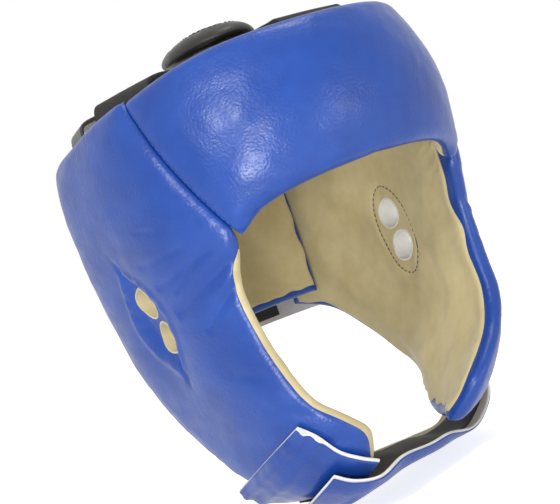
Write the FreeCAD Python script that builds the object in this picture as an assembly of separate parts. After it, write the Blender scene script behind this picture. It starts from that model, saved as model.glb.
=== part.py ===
"""Boxing headgear: padded forehead, side and rear pads, black crown straps, rear and chin closures.

Millimetres. +Z is up as worn, the face looks to -Y and the wearer's left is +X. The origin is the
centre of the head at the height of the ears. Angles go round the head from the face (0 degrees)
through the wearer's left ear (90) to the nape (180) and on to the right ear (270).
"""
import FreeCAD, Part
import math
import os

Vec = FreeCAD.Vector
os.makedirs("parts", exist_ok=True)

# ---- the form that the outside of the pads follows -------------------------------------------
# height, half width, front reach, back reach, squareness of the front, tilt of the wall
# (degrees, a wall that faces down is positive)
levels = [
    (-119.0, 30.0, 38.0, 25.0, 2.2, 82.0),
    (-117.0, 50.0, 55.0, 42.0, 2.3, 74.0),
    (-113.0, 66.0, 71.0, 58.0, 2.4, 60.0),
    (-106.0, 77.0, 86.0, 72.0, 2.5, 42.0),
    (-95.0, 83.0, 98.0, 84.0, 2.7, 26.0),
    (-80.0, 86.0, 104.0, 91.0, 2.9, 14.0),
    (-55.0, 91.0, 107.0, 98.0, 3.0, 10.0),
    (-20.0, 96.0, 109.0, 102.0, 2.6, 6.0),
    (15.0, 100.0, 112.0, 107.0, 2.4, 3.0),
    (50.0, 103.0, 119.0, 110.0, 2.35, -2.0),
    (80.0, 103.0, 123.0, 111.0, 2.2, -6.0),
    (105.0, 99.0, 121.0, 108.0, 2.0, -14.0),
    (126.0, 92.0, 114.0, 102.0, 2.0, -24.0),
]
back_squareness = 3.0

# ---- pads ------------------------------------------------------------------------------------
pad_thickness = 19.0        # in the middle of a pad
edge_thickness = 10.0       # at its border
edge_fade = 34.0            # width of the border over which a pad swells
edge_round = 3.0            # how far both faces turn in at the very edge
edge_round_width = 13.0
cover_thickness = 1.4       # blue coated leather
lining_thickness = 1.2      # suede lining
layer_gap = 0.15            # between a skin and the foam inside it
seam_gap = 0.3              # between two pads that are sewn edge to edge
lining_margin = 5.0         # the cover wraps this far onto the inner face

seam_angle = 60.0           # forehead seams, about the seam axis
seam_axis_top = (11.0, 113.0)       # two points (y, z) of the line where both seam planes meet
seam_axis_low = (-39.5, 32.0)
brow_height = [(0.0, 46.0), (28.0, 43.5), (47.0, 38.0), (seam_angle, 29.0)]
forehead_top = [(0.0, 123.0), (30.0, 122.0), (seam_angle, 113.0)]

# front border of a side pad: height, angle; it passes the seam and is cut there
face_edge = [(-113.0, 33.0), (-107.0, 28.0), (-95.0, 26.0), (-84.0, 26.0), (-73.0, 31.0), (-62.0, 37.0),
             (-45.0, 41.0), (-22.0, 44.5), (5.0, 46.0), (30.0, 42.5), (60.0, 48.0), (118.0, 60.0)]
# lower and upper border of a side pad: share of the way to the back, height
jaw_edge = [(0.0, -107.0), (0.25, -111.0), (0.5, -101.0), (0.65, -85.0), (0.78, -59.0), (0.88, -39.0),
            (1.0, -28.0)]
side_top = [(0.0, 115.0), (0.3, 111.0), (0.6, 106.0), (1.0, 101.0)]
left_rear_angle = 152.0     # the left pad laps over the rear pad
right_rear_angle = 130.0    # the right pad is sewn to it

rear_free_angle = 141.0     # free end of the rear pad, inside the left pad
rear_low = -25.0
rear_high = 88.0
rear_thickness = 14.0
rear_lap_gap = 1.0          # between the left pad and the rear pad inside it
rear_seam_gap = 0.3         # degrees left free at the seam that the rear pad turns on

# ---- ears ------------------------------------------------------------------------------------
ear_hole = 17.5
ear_hole_spacing = 22.0
ear_hole_centre = (-1.5, 0.3)       # y, z of the middle between the two holes
ear_hole_lean = 18.0                # lean of the line through them, top towards the back
ear_dish_length = 60.0
ear_dish_width = 34.0
ear_dish_depth = 9.0

# ---- straps: thicknesses and the gaps between layers that only lie on each other ---------------
strap_thickness = 2.4       # folded leather
tape_thickness = 1.3        # hook and loop tape
elastic_thickness = 2.2
strap_gap = 0.35
tape_gap = 0.15             # a tape on the leather that it is sewn to

# rear closure, round the back: angles and heights
rear_strap_sewn = 128.0
rear_strap_free = 214.0
rear_strap_low = -34.0
rear_strap_high = 15.0
tape_margin = 3.0           # leather left bare beside a tape
rear_loop_start = 182.0
rear_loop_end = 224.0
rear_hook_start = 158.0

# chin tab, sewn on the right cheek: rows from the sewn line to the free end, each front, middle, rear
chin_tab_rows = [
    ((-75.5, -77.5, -68.5), (-81.5, -50.0, -83.0), (-79.0, -4.0, -101.0)),
    ((-69.0, -81.0, -77.0), (-77.0, -50.0, -95.0), (-73.0, -7.0, -109.0)),
    ((-60.0, -84.0, -88.0), (-67.0, -51.0, -106.0), (-62.0, -13.0, -114.0)),
    ((-46.0, -82.0, -100.0), (-51.0, -52.0, -111.0), (-46.0, -21.0, -115.0)),
    ((-28.0, -72.0, -109.0), (-29.0, -49.0, -112.5), (-28.0, -29.0, -114.5)),
]
# chin strap, sewn on the left cheek: rows from the sewn line to the free end, each front and rear
chin_strap_rows = [
    ((84.5, -37.0, -76.0), (85.5, 8.0, -78.0)),
    ((83.5, -38.0, -91.0), (83.0, 6.0, -95.0)),
    ((76.0, -40.0, -104.0), (73.0, 1.0, -111.0)),
    ((60.0, -45.0, -112.0), (56.0, -7.0, -118.0)),
    ((40.0, -54.0, -113.5), (35.0, -14.0, -120.0)),
    ((20.0, -64.0, -113.0), (14.0, -22.0, -118.5)),
    ((0.0, -71.0, -112.0), (-5.0, -27.0, -117.0)),
    ((-20.0, -70.0, -112.5), (-21.0, -26.0, -118.0)),
    ((-38.0, -66.0, -113.0), (-36.0, -20.0, -119.0)),
    ((-55.0, -61.0, -112.0), (-52.0, -14.0, -119.0)),
]
chin_loop_start = 0.45      # shares of the tab and of the strap that the tapes cover
chin_hook_start = 0.12

# crown
crown_height = 143.0
crown_centre = 8.0          # y
crown_radius_across = 170.0     # curvature of the dome that the straps and discs follow
crown_radius_along = 280.0
crown_patch_length = 92.0
crown_patch_width = 76.0
crown_patch_thickness = 6.0
crown_lining_thickness = 1.2
front_strap_width = 40.0
elastic_width = 46.0
elastic_place = -26.0       # y of the side straps where they leave the side pads
leather_width = 44.0
leather_place = 58.0        # y of the rear straps there
leather_turn = 11.5         # the pad's curve sets them in by this much
crown_shares = (0.12, 0.28, 0.5, 0.75, 1.0)      # places along a strap where it lies on the dome
strap_foot = 101.0          # height of the seam that holds a crown strap inside its pad
strap_upright = 9.0         # it stands this high before it turns to the dome
strap_depth = 18.0          # depth of a strap there, behind the lining
front_strap_depth = 20.0    # the forehead pad leans in more
crown_gap = 0.9             # between layers at the crown


def along(table, at, column=1):
    """Smooth value of a table's column at a place, by cubic pieces through its rows."""
    if at <= table[0][0]:
        return table[0][column]
    if at >= table[-1][0]:
        return table[-1][column]
    last = len(table) - 1
    i = max(k for k in range(last) if table[k][0] <= at)

    def slope(k):
        low, high = max(k - 1, 0), min(k + 1, last)
        return (table[high][column] - table[low][column]) / (table[high][0] - table[low][0])

    step = table[i + 1][0] - table[i][0]
    t = (at - table[i][0]) / step
    return ((2 * t**3 - 3 * t**2 + 1) * table[i][column] + (t**3 - 2 * t**2 + t) * step * slope(i)
            + (3 * t**2 - 2 * t**3) * table[i + 1][column] + (t**3 - t**2) * step * slope(i + 1))


def wall(height, angle, depth, seam_fan=False):
    """Point of the form: height on its outside, angle round the head, depth in from the outside."""
    half, front, back, square, tilt = (along(levels, height, k) for k in range(1, 6))
    inward = depth * math.cos(math.radians(tilt))
    z = height + depth * math.sin(math.radians(tilt))
    centre = 0.0
    if seam_fan:
        (y1, z1), (y0, z0) = seam_axis_top, seam_axis_low
        centre = y0 + (z - z0) * (y1 - y0) / (z1 - z0)
    dx, dy = math.sin(math.radians(angle)), -math.cos(math.radians(angle))
    low, high = 0.0, 300.0
    for _ in range(45):
        mid = (low + high) / 2
        x, y = mid * dx, centre + mid * dy
        reach, power = (front, square) if y < 0 else (back, back_squareness)
        inside = (abs(x) / (half - inward)) ** power + (abs(y) / (reach - inward)) ** power < 1
        low, high = (mid, high) if inside else (low, mid)
    return Vec(low * dx, centre + low * dy, z)


def smooth(t):
    t = min(max(t, 0.0), 1.0)
    return t * t * (3 - 2 * t)


def swell(near_edge, thickness):
    """Depths of the outer and the inner face at this distance from the border."""
    turn = edge_round * (1 - smooth(near_edge / edge_round_width)) ** 1.5
    full = edge_thickness + (thickness - edge_thickness) * smooth(near_edge / edge_fade)
    return turn, full - turn


def skin(grid):
    surface = Part.BSplineSurface()
    surface.interpolate(grid)
    return surface.toShape()


def between(outer, inner):
    """Closed solid between two grids of points, with ruled borders."""
    skins = [skin(outer), skin(inner)]
    borders = [Part.makeRuledSurface(a, b) for a, b in zip(skins[0].Edges, skins[1].Edges)]
    closed = Part.makeCompound(skins + borders)
    closed.sewShape(0.01)
    solid = Part.Solid(closed.Shells[0])
    if solid.Volume < 0:
        solid.reverse()
    return solid


def pad(place, width, height, thickness, columns, rows, inset=(0.0, 0.0, 0.0), shift=None):
    """A pad whose place(u, v, depth) maps the unit square; inset: outer face, inner face, border."""
    grids = [[], []]
    for i in range(columns):
        lines = [[], []]
        for j in range(rows):
            u, v = (1 - math.cos(math.pi * i / (columns - 1))) / 2, (1 - math.cos(math.pi * j / (rows - 1))) / 2
            near = min(u, 1 - u) * width, min(v, 1 - v) * height
            edge = 1 / (1 / max(near[0], 0.01) ** 3 + 1 / max(near[1], 0.01) ** 3) ** (1 / 3)
            out, full = swell(edge, thickness)
            u = inset[2] / width + u * (1 - 2 * inset[2] / width)
            v = inset[2] / height + v * (1 - 2 * inset[2] / height)
            lines[0].append(place(u, v, out + inset[0]))
            lines[1].append(place(u, v, full - inset[1]))
        grids[0].append(lines[0])
        grids[1].append(lines[1])
    return between(*grids)


def mirrored(shape):
    """The same piece on the other side of the head."""
    return shape.mirror(Vec(0, 0, 0), Vec(1, 0, 0))


def layered(name, place, width, height, thickness, columns, rows, cut):
    """Cover, foam and lining of one pad; cut(solid, grown) takes out what is open in it."""
    skins = (cover_thickness, lining_thickness, cover_thickness)
    foam_inset = tuple(s + layer_gap for s in skins)
    zone_inset = (edge_thickness * 0.6, -2 * edge_thickness, lining_margin)
    size = (width, height, thickness, columns, rows)
    full = cut(pad(place, *size), 0.0)
    core = cut(pad(place, *size, inset=skins), cover_thickness)
    foam = cut(pad(place, *size, inset=foam_inset), cover_thickness + layer_gap)
    zone = pad(place, *size, inset=zone_inset)
    shell = full.cut(core)
    return {name + "_cover": shell.cut(zone), name + "_foam": foam, name + "_lining": shell.common(zone)}


def seam_side(gap):
    """Everything in front of the left seam plane, moved back by a gap."""
    (y1, z1), (y0, z0) = seam_axis_top, seam_axis_low
    slope = (y1 - y0) / (z1 - z0)
    out = Vec(math.sin(math.radians(seam_angle)), -math.cos(math.radians(seam_angle)), 0) * 200
    low, high = Vec(0, y0 - slope * (z0 + 30), -30), Vec(0, y0 + slope * (150 - z0), 150)
    normal = (high - low).cross(out).normalize()
    if normal.y > 0:
        normal = -normal
    corners = [p - normal * gap for p in (low, low + out, high + out, high, low)]
    return Part.Face(Part.makePolygon(corners)).extrude(normal * 150)


def ear_dish(grown):
    """Shallow oval pressed into the outside of a side pad over the ear."""
    matrix = FreeCAD.Matrix()
    matrix.scale(ear_dish_depth + grown, ear_dish_width / 2 + grown, ear_dish_length / 2 + grown)
    dish = Part.makeSphere(1).transformGeometry(matrix)
    dish.rotate(Vec(0, 0, 0), Vec(1, 0, 0), -ear_hole_lean)
    y, z = ear_hole_centre
    dish.translate(Vec(along(levels, z), y, z))
    return dish


def ear_holes(grown):
    """The two round holes in the middle of the dish."""
    lean = math.radians(ear_hole_lean)
    y, z = ear_hole_centre
    holes = []
    for step in (-ear_hole_spacing / 2, ear_hole_spacing / 2):
        at = Vec(0, y + step * math.sin(lean), z + step * math.cos(lean))
        holes.append(Part.makeCylinder(ear_hole / 2 + grown, 200, at, Vec(1, 0, 0)))
    return holes


def side_place(rear_angle):
    def place(u, v, depth):
        low, high = along(jaw_edge, u), along(side_top, u)
        height = low + v * (high - low)
        front = along(face_edge, height)
        return wall(height, front + u * (rear_angle - front), depth)
    return place


def side_cut(solid, grown):
    solid = solid.cut(ear_dish(grown))
    for hole in ear_holes(grown):
        solid = solid.cut(hole)
    return solid.cut(seam_side(seam_gap + grown))


def forehead_place(u, v, depth):
    angle = seam_angle * (2 * u - 1)
    low, high = along(brow_height, abs(angle)), along(forehead_top, abs(angle))
    return wall(low + v * (high - low), angle, depth, seam_fan=True)


def rear_step(angle):
    """How far the rear pad lies inside the form: flush on the right, under the left pad at its end."""
    under = pad_thickness + rear_lap_gap
    return under * smooth((198.0 - angle) / (198.0 - left_rear_angle - 4))


def rear_place(u, v, depth):
    start = 360 - right_rear_angle - rear_seam_gap
    angle = start + u * (rear_free_angle - start)
    return wall(rear_low + v * (rear_high - rear_low), angle, depth + rear_step(angle))


# ---- strips cut from a reference surface -------------------------------------------------------
def strip(surface, u_range, v_range, low, high, columns, rows):
    """Solid over part of a surface, between two offsets along its normal."""
    grids = [[], []]
    for i in range(columns):
        lines = [[], []]
        for j in range(rows):
            u = u_range[0] + (u_range[1] - u_range[0]) * i / (columns - 1)
            v = v_range[0] + (v_range[1] - v_range[0]) * j / (rows - 1)
            at, normal = surface.value(u, v), surface.normal(u, v)
            lines[0].append(at + normal * low)
            lines[1].append(at + normal * high)
        grids[0].append(lines[0])
        grids[1].append(lines[1])
    return between(*grids)


def surface_through(grid):
    surface = Part.BSplineSurface()
    surface.interpolate(grid)
    return surface


def outside(point, gap):
    """The point, or as far out beyond the form as the gap says, seen from the middle of the jaw."""
    heart = Vec(point[0] * 0.25, -35.0, -60.0)
    way = Vec(*point) - heart
    reach = way.Length
    way.normalize()
    low, high = 0.0, 150.0
    for _ in range(40):
        mid = (low + high) / 2
        p = heart + way * mid
        if p.z < levels[0][0]:
            high = mid
            continue
        half, front, back, square = (along(levels, p.z, k) for k in range(1, 5))
        far, power = (front, square) if p.y < 0 else (back, back_squareness)
        low, high = (mid, high) if (abs(p.x) / half) ** power + (abs(p.y) / far) ** power < 1 else (low, mid)
    return heart + way * max(reach, low + gap)


parts = {}

# ---- forehead pad ------------------------------------------------------------------------------
forehead_size = (225.0, 85.0)       # length round the front and height, for borders and swelling
parts.update(layered("forehead", forehead_place, *forehead_size, pad_thickness, 15, 9, lambda s, g: s))

# ---- side pads ---------------------------------------------------------------------------------
side_size = (190.0, 155.0)
right = layered("side", side_place(right_rear_angle), *side_size, pad_thickness, 15, 15, side_cut)
left = layered("side", side_place(left_rear_angle), *side_size, pad_thickness, 15, 15, side_cut)
for name, solid in left.items():
    parts["left_" + name] = solid
for name, solid in right.items():
    parts["right_" + name] = mirrored(solid)

# ---- rear pad, and the closing strap that laps round it -----------------------------------------
rear_size = (185.0, rear_high - rear_low)
parts.update(layered("rear_pad", rear_place, *rear_size, rear_thickness, 13, 9, lambda s, g: s))


def rear_band(start, end, low, high, inner, outer):
    """Band that follows the back of the form between two depths outside it."""
    def face(out):
        return [[wall(low + (high - low) * j / 4, start + (end - start) * i / 12, -out) for j in range(5)]
                for i in range(13)]
    return between(face(outer), face(inner))


loop_out = strap_gap + tape_thickness
hook_out = loop_out + 0.3 + strap_gap + tape_thickness
strap_in = hook_out + 0.1
parts["rear_loop_patch"] = rear_band(rear_loop_start, rear_loop_end, rear_strap_low + 22, rear_strap_high - 3,
                                     strap_gap + 0.3, loop_out + 0.3)
parts["rear_hook_patch"] = rear_band(rear_hook_start, rear_strap_free - 1, rear_strap_low + tape_margin,
                                     rear_strap_high - tape_margin, hook_out - tape_thickness, hook_out)
parts["rear_strap"] = rear_band(rear_strap_sewn, rear_strap_free, rear_strap_low, rear_strap_high,
                                strap_in, strap_in + strap_thickness)

# ---- chin tab on the right cheek ----------------------------------------------------------------
tab_face = surface_through([[outside(p, strap_gap) for p in row] for row in chin_tab_rows])
tab_sign = 1 if tab_face.normal(0.5, 0.5).z < 0 else -1


def layer(surface, sign, u_range, v_range, low, high, columns=9, rows=4):
    return strip(surface, u_range, v_range, sign * low, sign * high, columns, rows)


tab_loop_out = strap_thickness + strap_gap
parts["chin_tab"] = layer(tab_face, tab_sign, (0, 1), (0, 1), 0, strap_thickness)
parts["chin_loop_patch"] = layer(tab_face, tab_sign, (chin_loop_start, 0.97), (0.06, 0.94),
                                 strap_thickness + tape_gap, strap_thickness + tape_thickness)

# ---- chin strap from the left cheek -------------------------------------------------------------
over_tab = 2 * strap_gap + strap_thickness + 2 * tape_thickness + 1.6
over_cheek = strap_gap + tape_thickness + 0.3
strap_rows = []
for k, (front, rear) in enumerate(chin_strap_rows):
    share = smooth((k / (len(chin_strap_rows) - 1) - 0.55) / 0.25)
    gap = over_cheek + share * (over_tab - over_cheek)
    middle = tuple((a + b) / 2 for a, b in zip(front, rear))
    strap_rows.append([outside(p, gap) for p in (front, middle, rear)])
strap_face = surface_through(strap_rows)
strap_sign = 1 if strap_face.normal(0.7, 0.5).z < 0 else -1
parts["chin_strap"] = layer(strap_face, strap_sign, (0, 1), (0, 1), 0, strap_thickness, 19)
parts["chin_hook_patch"] = layer(strap_face, strap_sign, (chin_hook_start, 0.98), (0.08, 0.86),
                                 -tape_thickness, -tape_gap, 17)

# ---- crown: two leather discs and five straps ----------------------------------------------------
def dome(x, y, under):
    """Height of the crown at a place, this far under its top."""
    return crown_height - under - x * x / (2 * crown_radius_across) - (y - crown_centre) ** 2 / (2 * crown_radius_along)


def crown_disc(under, thickness, smaller):
    half, long = crown_patch_width / 2 - smaller, crown_patch_length / 2 - smaller

    def face(depth):
        places = [[(half * 1.2 * (i - 3) / 3, crown_centre + long * 1.2 * (j - 3) / 3) for j in range(7)]
                  for i in range(7)]
        return [[Vec(x, y, dome(x, y, depth)) for x, y in row] for row in places]

    matrix = FreeCAD.Matrix()
    matrix.scale(half, long, crown_height)
    post = Part.makeCylinder(1, 1).transformGeometry(matrix)
    post.translate(Vec(0, crown_centre, crown_height / 2))
    return between(face(under), face(under + thickness)).common(post)


elastic_under = crown_patch_thickness + crown_gap
leather_under = elastic_under + elastic_thickness + crown_gap
lining_under = leather_under + strap_thickness + 2 * crown_gap
parts["crown_pad"] = crown_disc(0, crown_patch_thickness, 0)
parts["crown_lining"] = crown_disc(lining_under, crown_lining_thickness, 3)


def crown_strap(foot, end, width, thickness, under):
    """Strap sewn to the inside of a pad at foot, rising over its edge to the crown at end."""
    way = Vec(end[0] - foot[0], end[1] - foot[1], 0)
    across = Vec(-way.y, way.x, 0).normalize() * (width / 2)
    rows = []
    for height in (0, strap_upright):
        rows.append([Vec(foot[0], foot[1], strap_foot + height) + across * k for k in (-1, 0, 1)])
    for share in crown_shares:
        at = [Vec(foot[0], foot[1], 0) + way * share + across * k for k in (-1, 0, 1)]
        rows.append([Vec(p.x, p.y, dome(p.x, p.y, under)) for p in at])
    surface = surface_through(rows)
    sign = 1 if surface.normal(0.9, 0.5).z < 0 else -1
    return layer(surface, sign, (0, 1), (0, 1), 0, thickness, 13, 3)


foot_half = along(levels, strap_foot) - strap_depth
foot_front = along(levels, strap_foot, 2) - front_strap_depth
parts["crown_strap_front"] = crown_strap((0, -foot_front), (0, crown_centre - 42), front_strap_width,
                                         elastic_thickness, elastic_under)
parts["crown_strap_left"] = crown_strap((foot_half, elastic_place), (22, elastic_place / 3), elastic_width,
                                        elastic_thickness, elastic_under)
parts["crown_strap_rear_left"] = crown_strap((foot_half - leather_turn, leather_place), (20, crown_centre + 24),
                                             leather_width, strap_thickness, leather_under)
for name in ("crown_strap_left", "crown_strap_rear_left"):
    parts[name.replace("left", "right")] = mirrored(parts[name])

for name, shape in parts.items():
    solids = [s for s in shape.Solids if s.Volume > 1]
    shape = solids[0] if len(solids) == 1 else Part.makeCompound(solids)
    print(f"{name:26s} solids {len(solids)}  valid {shape.isValid()}  {shape.Volume / 1000:8.2f} cm3")
    shape.exportStep(f"parts/{name}.step")
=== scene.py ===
import math
import bmesh
import bpy
import numpy as np
from mathutils import Matrix, Vector
from mathutils.bvhtree import BVHTree


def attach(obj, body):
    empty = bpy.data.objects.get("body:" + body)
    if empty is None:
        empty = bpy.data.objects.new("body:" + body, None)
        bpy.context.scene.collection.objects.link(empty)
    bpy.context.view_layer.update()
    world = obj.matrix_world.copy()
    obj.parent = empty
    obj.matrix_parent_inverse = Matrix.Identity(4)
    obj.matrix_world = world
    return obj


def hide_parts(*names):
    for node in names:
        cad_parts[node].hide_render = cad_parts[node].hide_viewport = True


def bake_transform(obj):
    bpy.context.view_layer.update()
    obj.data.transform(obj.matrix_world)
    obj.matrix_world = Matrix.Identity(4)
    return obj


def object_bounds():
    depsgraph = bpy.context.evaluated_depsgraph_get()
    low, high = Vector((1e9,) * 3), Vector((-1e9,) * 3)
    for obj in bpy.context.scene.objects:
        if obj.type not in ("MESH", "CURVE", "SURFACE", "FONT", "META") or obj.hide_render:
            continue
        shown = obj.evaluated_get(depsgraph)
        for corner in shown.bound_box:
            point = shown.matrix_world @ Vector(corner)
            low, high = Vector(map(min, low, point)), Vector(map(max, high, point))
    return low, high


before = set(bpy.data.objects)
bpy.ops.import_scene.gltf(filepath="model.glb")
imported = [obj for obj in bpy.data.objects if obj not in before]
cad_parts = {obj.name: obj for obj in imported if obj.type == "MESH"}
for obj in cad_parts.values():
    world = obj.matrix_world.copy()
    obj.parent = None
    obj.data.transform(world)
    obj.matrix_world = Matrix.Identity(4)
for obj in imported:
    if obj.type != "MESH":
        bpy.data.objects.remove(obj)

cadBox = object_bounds()
mm = 0.001     # lengths below are in millimetres, angles in degrees

# The form that the outside of the pads follows: height, half width, front reach, back reach, squareness of
# the front, tilt of the wall. Angles go round the head from the face (0) through the left ear (90).
formLevels = [
    (-119, 30, 38, 25, 2.2, 82), (-117, 50, 55, 42, 2.3, 74), (-113, 66, 71, 58, 2.4, 60),
    (-106, 77, 86, 72, 2.5, 42), (-95, 83, 98, 84, 2.7, 26), (-80, 86, 104, 91, 2.9, 14),
    (-55, 91, 107, 98, 3.0, 10), (-20, 96, 109, 102, 2.6, 6), (15, 100, 112, 107, 2.4, 3),
    (50, 103, 119, 110, 2.35, -2), (80, 103, 123, 111, 2.2, -6), (105, 99, 121, 108, 2.0, -14),
    (126, 92, 114, 102, 2.0, -24)]
form = {"backSquareness": 3.0, "seamAngle": 60.0, "seamTop": (11.0, 113.0), "seamLow": (-39.5, 32.0)}


def along(table, at, column=1):
    # smooth value of a table's column, by cubic pieces through its rows
    rows = np.asarray(table, float)
    x, y = rows[:, 0], rows[:, column]
    slope = np.concatenate([(y[1:2] - y[:1]) / (x[1:2] - x[:1]), (y[2:] - y[:-2]) / (x[2:] - x[:-2]),
                            (y[-1:] - y[-2:-1]) / (x[-1:] - x[-2:-1])])
    at = np.clip(np.asarray(at, float), x[0], x[-1])
    k = np.clip(np.searchsorted(x, at, side="right") - 1, 0, len(x) - 2)
    step = x[k + 1] - x[k]
    t = (at - x[k]) / step
    return ((2 * t**3 - 3 * t**2 + 1) * y[k] + (t**3 - 2 * t**2 + t) * step * slope[k]
            + (3 * t**2 - 2 * t**3) * y[k + 1] + (t**3 - t**2) * step * slope[k + 1])


def smooth(t):
    t = np.clip(t, 0, 1)
    return t * t * (3 - 2 * t)


def formSection(z):
    half, front, back, square = (along(formLevels, z, k) for k in range(1, 5))
    return half, front, back, square


def wall(height, angle, depth, fan=False):
    # points of the form: height on its outside, angle round the head, depth in from the outside
    height, angle, depth = np.broadcast_arrays(*(np.asarray(v, float) for v in (height, angle, depth)))
    half, front, back, square = formSection(height)
    tilt = np.radians(along(formLevels, height, 5))
    inward, z = depth * np.cos(tilt), height + depth * np.sin(tilt)
    dx, dy = np.sin(np.radians(angle)), -np.cos(np.radians(angle))
    (y1, z1), (y0, z0) = form["seamTop"], form["seamLow"]
    centre = y0 + (z - z0) * (y1 - y0) / (z1 - z0) if fan else 0 * z
    low, high = 0 * z, 0 * z + 300
    for _ in range(32):
        mid = (low + high) / 2
        y = centre + mid * dy
        reach = np.where(y < 0, front, back) - inward
        power = np.where(y < 0, square, form["backSquareness"])
        inside = (np.abs(mid * dx) / (half - inward)) ** power + (np.abs(y) / reach) ** power < 1
        low, high = np.where(inside, mid, low), np.where(inside, high, mid)
    return np.stack([low * dx, centre + low * dy, z], -1)


def ripple(points, length, seed):
    # soft unevenness, mostly between -1 and 1: waves of about this length in many directions
    rng = np.random.default_rng(seed)
    total = 0
    for _ in range(10):
        way = rng.normal(size=np.shape(points)[-1])
        way *= 2 * math.pi / (length * rng.uniform(0.65, 1.5)) / np.linalg.norm(way)
        total = total + np.sin(points @ way + rng.uniform(0, 2 * math.pi))
    return total / 3.2


def pucker(at, length, seed):
    # the same along a line
    return ripple(np.asarray(at)[..., None], length, seed)


def linked(name, data):
    piece = bpy.data.objects.new(name, data)
    bpy.context.scene.collection.objects.link(piece)
    return piece


def toObject(name, points, faces, material):
    mesh = bpy.data.meshes.new(name)
    mesh.from_pydata((np.asarray(points) * mm).tolist(), [], faces)
    mesh.validate()
    mesh.materials.append(material)
    return linked(name, mesh)


def finishMesh(piece, sharp=50):
    # normals outwards, smooth shading that stays crisp over the sharp angle
    bm = bmesh.new()
    bm.from_mesh(piece.data)
    bmesh.ops.recalc_face_normals(bm, faces=bm.faces)
    if bm.calc_volume(signed=True) < 0:
        bmesh.ops.reverse_faces(bm, faces=bm.faces)
    for face in bm.faces:
        face.smooth = True
    for edge in bm.edges:
        edge.smooth = not edge.is_manifold or edge.calc_face_angle(0) < math.radians(sharp)
    bm.to_mesh(piece.data)
    bm.free()
    return piece


def dress(piece, body, nodes=()):
    # the body it rides on, and the CAD nodes it stands for
    if body:
        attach(piece, body)
    if nodes:
        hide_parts(*nodes)
    return piece


def nearestBorder(away):
    # distance to the nearest border, blended at the corners
    return (np.maximum(away, 0.01) ** -4.0).sum(0) ** -0.25


def shell(name, outer, inner, material):
    # closed mesh between two grids of points
    n, m = outer.shape[:2]
    at = np.arange(n * m).reshape(n, m)
    a, b, c, d = at[:-1, :-1], at[1:, :-1], at[1:, 1:], at[:-1, 1:]
    faces = np.stack([a, b, c, d], -1).reshape(-1, 4).tolist()
    faces += (np.stack([d, c, b, a], -1).reshape(-1, 4) + n * m).tolist()
    rim = [int(k) for k in [*at[:, 0], *at[-1, 1:], *at[-2::-1, -1], *at[0, -2:0:-1]]]
    faces += [[q, p, p + n * m, q + n * m] for p, q in zip(rim, rim[1:] + rim[:1])]
    points = np.concatenate([outer.reshape(-1, 3), inner.reshape(-1, 3)])
    return finishMesh(toObject(name, points, faces, material))


def spread(size, step, turn):
    # shares from 0 to 1 along a side of this size, close together over the turn at both ends
    ends = turn * np.array([0, 0.015, 0.06, 0.135, 0.24, 0.38, 0.55, 0.76, 1.0])
    middle = np.linspace(turn, size - turn, max(int((size - 2 * turn) / step), 3))[1:-1]
    return np.concatenate([ends, middle, size - ends[::-1]]) / size


def closer(shares, low, high, step):
    # the shares, with one stretch of them this close together
    kept = shares[(shares < low - step / 2) | (shares > high + step / 2)]
    return np.sort(np.concatenate([kept, np.arange(low, high + step / 3, step)]))


def borderDistance(points):
    # distance along the surface to each of the four borders of a grid of points
    du = np.pad(np.linalg.norm(np.diff(points, axis=0), axis=-1).cumsum(0), ((1, 0), (0, 0)))
    dv = np.pad(np.linalg.norm(np.diff(points, axis=1), axis=-1).cumsum(1), ((0, 0), (1, 0)))
    return np.stack([du, du[-1:] - du, dv, dv[:, -1:] - dv])


def normalsOf(points, towards):
    across = np.cross(np.gradient(points, axis=0), np.gradient(points, axis=1))
    across /= np.maximum(np.linalg.norm(across, axis=-1, keepdims=True), 1e-9)
    return -across if np.sum(across * towards) < 0 else across


def quarterTurn(distances, radii, depths):
    # depth of a rounded border: a quarter circle over the radius of each side, blended at the corners
    t = np.clip(1 - distances / radii, 0, 1) ** 4
    total = t.sum(0)
    share = np.minimum(total, 1) ** 0.25
    depth = (t * depths).sum(0) / np.maximum(total, 1e-9)
    return depth * (1 - np.sqrt(np.maximum(1 - share**2, 0)))


def onGrid(grid, u, v, atU, atV):
    # points of a grid at other shares, by straight lines between its points
    i = np.clip(np.searchsorted(u, atU, side="right") - 1, 0, len(u) - 2)
    j = np.clip(np.searchsorted(v, atV, side="right") - 1, 0, len(v) - 2)
    s = ((atU - u[i]) / (u[i + 1] - u[i]))[..., None]
    t = ((atV - v[j]) / (v[j + 1] - v[j]))[..., None]
    return ((1 - s) * (1 - t) * grid[i, j] + s * (1 - t) * grid[i + 1, j]
            + (1 - s) * t * grid[i, j + 1] + s * t * grid[i + 1, j + 1])


def crease(points, a, b, width, depth):
    # a wrinkle from a to b: a valley with a soft ridge beside it, fading at both ends
    way = b - a
    share = ((points - a) @ way) / (way @ way)
    away = np.linalg.norm(points - (a + np.clip(share, 0, 1)[..., None] * way), axis=-1) / width
    fade = np.sin(math.pi * np.clip(share * 0.92 + 0.04, 0, 1)) ** 0.6
    return depth * fade * (1 - 0.55 * away**2) * np.exp(-away**2)


def addNode(tree, kind, links=None, values=None, **settings):
    # one node with its settings, its input values and the sockets that feed it
    node = tree.nodes.new(kind)
    for name, value in settings.items():
        setattr(node, name, value)
    for key, value in (values or {}).items():
        node.inputs[key].default_value = value
    for key, socket in (links or {}).items():
        tree.links.new(socket, node.inputs[key])
    return node


def linear(code):
    # an sRGB hex colour as linear light
    parts = [int(code[k:k + 2], 16) / 255 for k in (1, 3, 5)]
    return tuple(p / 12.92 if p <= 0.04045 else ((p + 0.055) / 1.055) ** 2.4 for p in parts) + (1.0,)


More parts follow.
